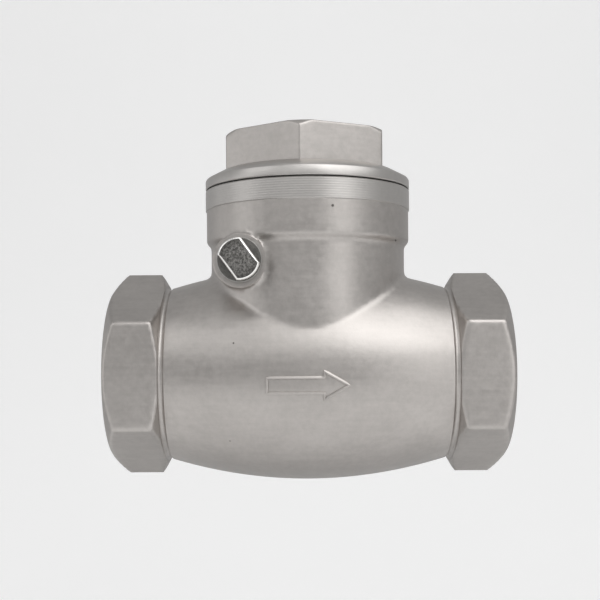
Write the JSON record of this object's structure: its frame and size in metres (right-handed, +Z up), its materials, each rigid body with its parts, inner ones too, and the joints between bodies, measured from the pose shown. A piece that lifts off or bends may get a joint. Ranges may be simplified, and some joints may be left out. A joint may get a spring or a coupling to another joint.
{
  "type": "threaded swing check valve",
  "caption": "Threaded stainless swing check valve: hexagonal pipe ends, barrel body, screwed hexagonal bonnet cap, side plug and a hinged clapper that opens with the flow.",
  "frame": {"origin": "where the pipe axis meets the bonnet axis, midway between the two end faces", "axes": "+X along the pipe axis in the direction of flow, +Z up the bonnet axis towards the cap, +Y away from the side with the flow arrow"},
  "size_m": [0.12, 0.068, 0.1071],
  "materials": {
    "cast_steel": "satin, acid-cleaned and bead-blasted investment casting",
    "cap_steel": "satin casting with turned faces",
    "turned_steel": "fine turned stainless steel",
    "plug_steel": "dark rough end face with bright edges",
    "gasket_fibre": "dark compressed fibre",
    "ptfe": "white PTFE"
  },
  "bodies": {
    "shell": {"valve_body": "cast_steel", "bonnet_cap": "cap_steel", "bonnet_gasket": "gasket_fibre", "side_plug_front": "plug_steel", "side_plug_rear": "plug_steel", "plug_gasket_front": "ptfe", "plug_gasket_rear": "ptfe"},
    "arm": {"hinge_arm": "cast_steel"},
    "clapper": {"clapper_disc": "turned_steel", "facing_ring": "ptfe", "facing_retainer": "turned_steel", "retainer_screw": "turned_steel", "stud_washer": "turned_steel", "stud_nut": "turned_steel", "split_pin": "turned_steel"},
    "pin": {"hinge_pin": "turned_steel"}
  },
  "joints": [
    {"name": "clapper_swing", "type": "hinge", "parent": "shell", "child": "arm", "pos_m": [-0.0197, 0, 0.0332], "axis": [0, -1, 0], "range_deg": [0, 58]},
    {"name": "disc_spin", "type": "hinge", "parent": "arm", "child": "clapper", "pos_m": [-0.0062, 0, 0], "axis": [1, 0, 0], "continuous": true},
    {"name": "pin_spin", "type": "hinge", "parent": "shell", "child": "pin", "pos_m": [-0.0197, 0, 0.0332], "axis": [0, 1, 0], "continuous": true}
  ]
}
